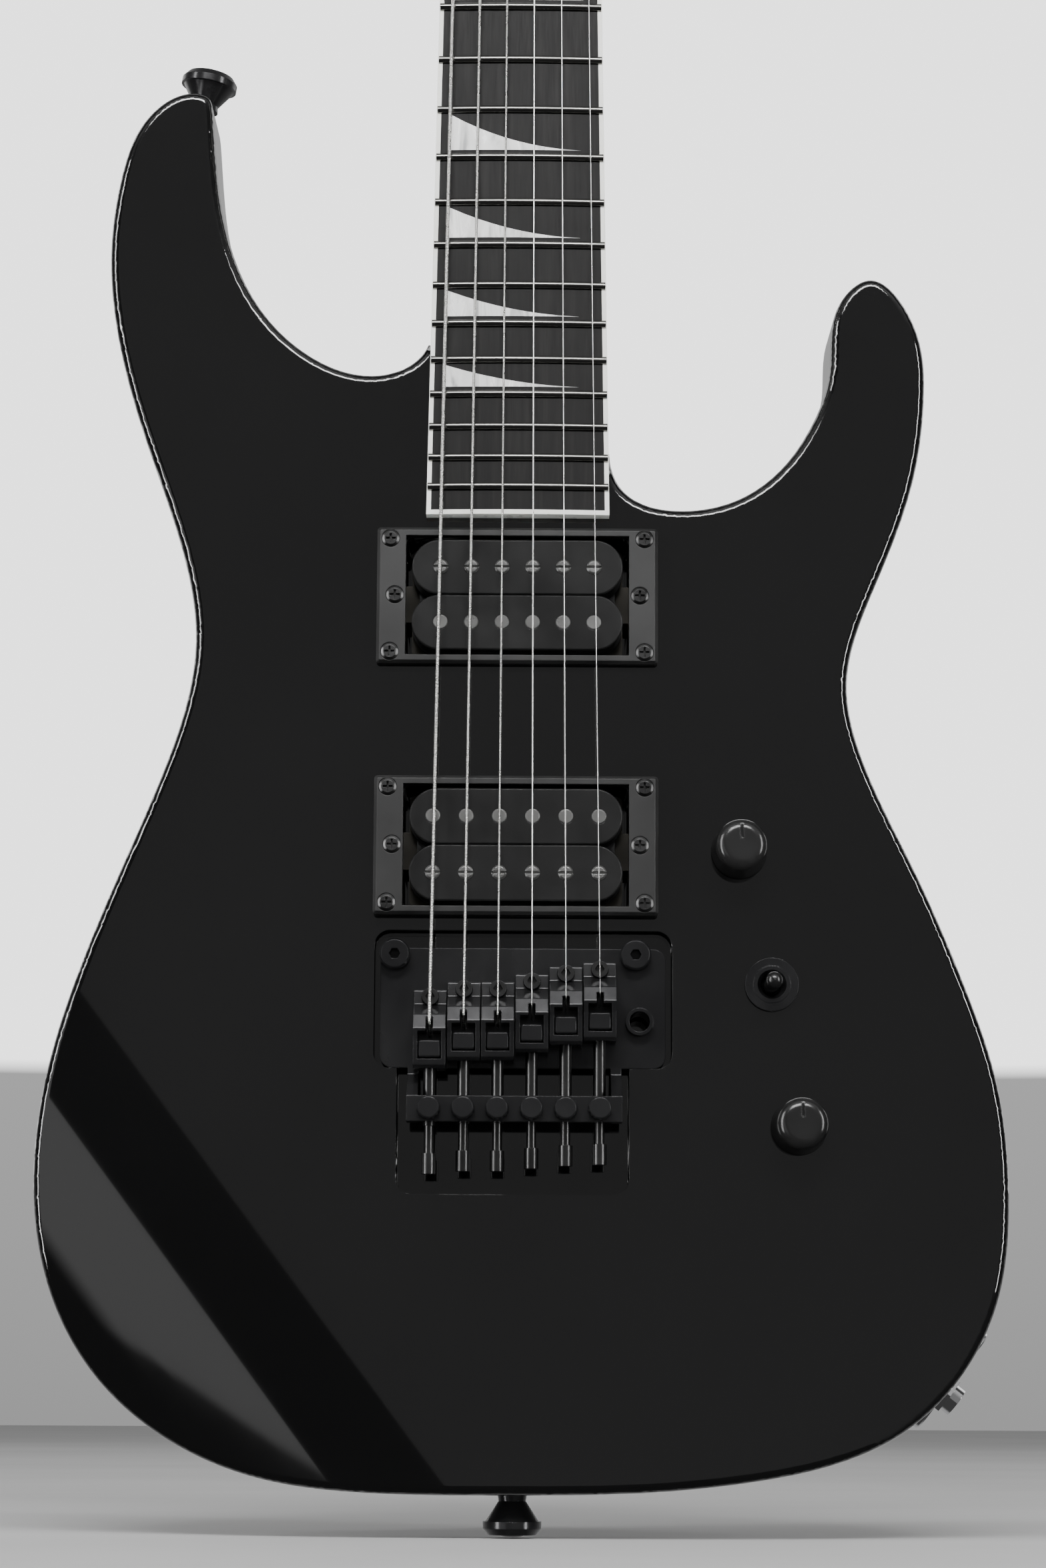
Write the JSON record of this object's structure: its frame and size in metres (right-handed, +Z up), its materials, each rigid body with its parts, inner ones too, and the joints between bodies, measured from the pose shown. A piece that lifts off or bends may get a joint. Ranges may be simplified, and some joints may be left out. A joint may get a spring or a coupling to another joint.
{
  "type": "electric guitar",
  "caption": "Double-cutaway electric guitar in gloss black with locking tremolo, humbucking pickups and a bound dark fretboard with swept triangle inlays",
  "frame": {"origin": "seat of the end strap button on the body's end, at half the body's thickness", "axes": "+X to the treble side, face toward -Y, +Z up the neck; the body's front is at y -0.019 and its back at y +0.019"},
  "size_m": [0.3063, 0.0806, 1.0218],
  "materials": {
    "black_lacquer": "gloss",
    "ebony": "satin",
    "ivory_plastic": "gloss",
    "pearl": "gloss",
    "fret_metal": "gloss",
    "steel": "satin",
    "black_plastic": "satin",
    "black_hardware": "satin",
    "dark_steel": "satin",
    "string_steel": "gloss",
    "nickel_silver": "satin",
    "magnet": "matte",
    "pole_steel": "gloss",
    "chrome": "gloss"
  },
  "bodies": {
    "guitar": {"neck_core": "black_lacquer", "body_wing_bass": "black_lacquer", "body_wing_treble": "black_lacquer", "fretboard": "ebony", "fretboard_binding": "ivory_plastic", "frets": "fret_metal", "fretboard_inlays": "pearl", "truss_rod": "steel", "truss_rod_cover": "black_plastic", "locking_nut": "black_hardware", "nut_clamps": "black_hardware", "nut_clamp_screws": "dark_steel", "string_retainer_bar": "black_hardware", "headstock_screws": "dark_steel", "tuner_housings": "black_hardware", "tuner_bushings": "black_hardware", "strings": "string_steel", "pickup_rings": "black_plastic", "pickup_bobbins": "black_plastic", "pickup_base_plates": "nickel_silver", "pickup_magnets": "magnet", "pickup_pole_screws": "pole_steel", "pickup_pole_slugs": "pole_steel", "pickup_ring_screws": "dark_steel", "trem_studs": "black_hardware", "trem_springs": "steel", "spring_claw": "steel", "trem_cover": "black_plastic", "control_cover": "black_plastic", "cover_screws": "dark_steel", "potentiometers": "steel", "toggle_switch": "black_hardware", "output_jack": "chrome", "strap_buttons": "black_hardware"},
    "tremolo": {"trem_base_plate": "black_hardware", "trem_saddles": "black_hardware", "string_lock_screws": "dark_steel", "intonation_screws": "dark_steel", "sustain_block": "steel"},
    "fine_tuner_1": {"fine_tuner_1": "black_hardware"},
    "fine_tuner_2": {"fine_tuner_2": "black_hardware"},
    "fine_tuner_3": {"fine_tuner_3": "black_hardware"},
    "fine_tuner_4": {"fine_tuner_4": "black_hardware"},
    "fine_tuner_5": {"fine_tuner_5": "black_hardware"},
    "fine_tuner_6": {"fine_tuner_6": "black_hardware"},
    "toggle_lever": {"toggle_lever": "black_plastic"},
    "tone_knob": {"tone_knob": "black_plastic"},
    "tuner_key_1": {"tuner_key_1": "black_hardware"},
    "tuner_key_2": {"tuner_key_2": "black_hardware"},
    "tuner_key_3": {"tuner_key_3": "black_hardware"},
    "tuner_key_4": {"tuner_key_4": "black_hardware"},
    "tuner_key_5": {"tuner_key_5": "black_hardware"},
    "tuner_key_6": {"tuner_key_6": "black_hardware"},
    "tuner_post_1": {"tuner_post_1": "black_hardware"},
    "tuner_post_2": {"tuner_post_2": "black_hardware"},
    "tuner_post_3": {"tuner_post_3": "black_hardware"},
    "tuner_post_4": {"tuner_post_4": "black_hardware"},
    "tuner_post_5": {"tuner_post_5": "black_hardware"},
    "tuner_post_6": {"tuner_post_6": "black_hardware"},
    "volume_knob": {"volume_knob": "black_plastic"}
  },
  "joints": [
    {"name": "tremolo_rock", "type": "hinge", "parent": "guitar", "child": "tremolo", "pos_m": [0, -0.0161, 0.1678], "axis": [-1, 0, 0], "range_deg": [-5, 15], "stiffness_Nm_per_rad": 8, "deforming": ["strings", "trem_springs"]},
    {"name": "tuner_key_1_turn", "type": "hinge", "parent": "guitar", "child": "tuner_key_1", "pos_m": [-0.01851, 0.01186, 0.86455], "axis": [-0.9603, 0.058, 0.273], "continuous": true},
    {"name": "tuner_post_1_turn", "type": "hinge", "parent": "guitar", "child": "tuner_post_1", "pos_m": [-0.02068, -0.00877, 0.86128], "axis": [0, -0.9781, 0.2079], "continuous": true},
    {"name": "tuner_key_2_turn", "type": "hinge", "parent": "guitar", "child": "tuner_key_2", "pos_m": [-0.01126, 0.01696, 0.88852], "axis": [-0.9603, 0.058, 0.273], "continuous": true},
    {"name": "tuner_post_2_turn", "type": "hinge", "parent": "guitar", "child": "tuner_post_2", "pos_m": [-0.01344, -0.00367, 0.88525], "axis": [0, -0.9781, 0.2079], "continuous": true},
    {"name": "tuner_key_3_turn", "type": "hinge", "parent": "guitar", "child": "tuner_key_3", "pos_m": [-0.00401, 0.02205, 0.91248], "axis": [-0.9603, 0.058, 0.273], "continuous": true},
    {"name": "tuner_post_3_turn", "type": "hinge", "parent": "guitar", "child": "tuner_post_3", "pos_m": [-0.00619, 0.00142, 0.90921], "axis": [0, -0.9781, 0.2079], "continuous": true},
    {"name": "tuner_key_4_turn", "type": "hinge", "parent": "guitar", "child": "tuner_key_4", "pos_m": [0.00322, 0.02714, 0.93645], "axis": [-0.9603, 0.058, 0.273], "continuous": true},
    {"name": "tuner_post_4_turn", "type": "hinge", "parent": "guitar", "child": "tuner_post_4", "pos_m": [0.00104, 0.00651, 0.93318], "axis": [0, -0.9781, 0.2079], "continuous": true},
    {"name": "tuner_key_5_turn", "type": "hinge", "parent": "guitar", "child": "tuner_key_5", "pos_m": [0.01039, 0.03224, 0.96041], "axis": [-0.9603, 0.058, 0.273], "continuous": true},
    {"name": "tuner_post_5_turn", "type": "hinge", "parent": "guitar", "child": "tuner_post_5", "pos_m": [0.00822, 0.01161, 0.95714], "axis": [0, -0.9781, 0.2079], "continuous": true},
    {"name": "tuner_key_6_turn", "type": "hinge", "parent": "guitar", "child": "tuner_key_6", "pos_m": [0.01755, 0.03733, 0.98438], "axis": [-0.9603, 0.058, 0.273], "continuous": true},
    {"name": "tuner_post_6_turn", "type": "hinge", "parent": "guitar", "child": "tuner_post_6", "pos_m": [0.01537, 0.0167, 0.98111], "axis": [0, -0.9781, 0.2079], "continuous": true},
    {"name": "fine_tuner_1_turn", "type": "hinge", "parent": "tremolo", "child": "fine_tuner_1", "pos_m": [-0.02665, -0.028, 0.1185], "axis": [0, -1, 0], "range_deg": [-720, 720]},
    {"name": "fine_tuner_2_turn", "type": "hinge", "parent": "tremolo", "child": "fine_tuner_2", "pos_m": [-0.01599, -0.028, 0.1185], "axis": [0, -1, 0], "range_deg": [-720, 720]},
    {"name": "fine_tuner_3_turn", "type": "hinge", "parent": "tremolo", "child": "fine_tuner_3", "pos_m": [-0.00533, -0.028, 0.1185], "axis": [0, -1, 0], "range_deg": [-720, 720]},
    {"name": "fine_tuner_4_turn", "type": "hinge", "parent": "tremolo", "child": "fine_tuner_4", "pos_m": [0.00533, -0.028, 0.1185], "axis": [0, -1, 0], "range_deg": [-720, 720]},
    {"name": "fine_tuner_5_turn", "type": "hinge", "parent": "tremolo", "child": "fine_tuner_5", "pos_m": [0.01599, -0.028, 0.1185], "axis": [0, -1, 0], "range_deg": [-720, 720]},
    {"name": "fine_tuner_6_turn", "type": "hinge", "parent": "tremolo", "child": "fine_tuner_6", "pos_m": [0.02665, -0.028, 0.1185], "axis": [0, -1, 0], "range_deg": [-720, 720]},
    {"name": "volume_turn", "type": "hinge", "parent": "guitar", "child": "volume_knob", "pos_m": [0.0708, -0.019, 0.2012], "axis": [0, -1, 0], "range_deg": [-150, 150]},
    {"name": "tone_turn", "type": "hinge", "parent": "guitar", "child": "tone_knob", "pos_m": [0.0893, -0.019, 0.114], "axis": [0, -1, 0], "range_deg": [-150, 150]},
    {"name": "toggle_throw", "type": "hinge", "parent": "guitar", "child": "toggle_lever", "pos_m": [0.0809, -0.017, 0.1587], "axis": [1, 0, 0], "range_deg": [-12, 12]}
  ],
  "couplings": [
    {"joint": "tuner_post_1_turn", "follows": "tuner_key_1_turn", "ratio": -0.071429},
    {"joint": "tuner_post_2_turn", "follows": "tuner_key_2_turn", "ratio": -0.071429},
    {"joint": "tuner_post_3_turn", "follows": "tuner_key_3_turn", "ratio": -0.071429},
    {"joint": "tuner_post_4_turn", "follows": "tuner_key_4_turn", "ratio": -0.071429},
    {"joint": "tuner_post_5_turn", "follows": "tuner_key_5_turn", "ratio": -0.071429},
    {"joint": "tuner_post_6_turn", "follows": "tuner_key_6_turn", "ratio": -0.071429}
  ]
}
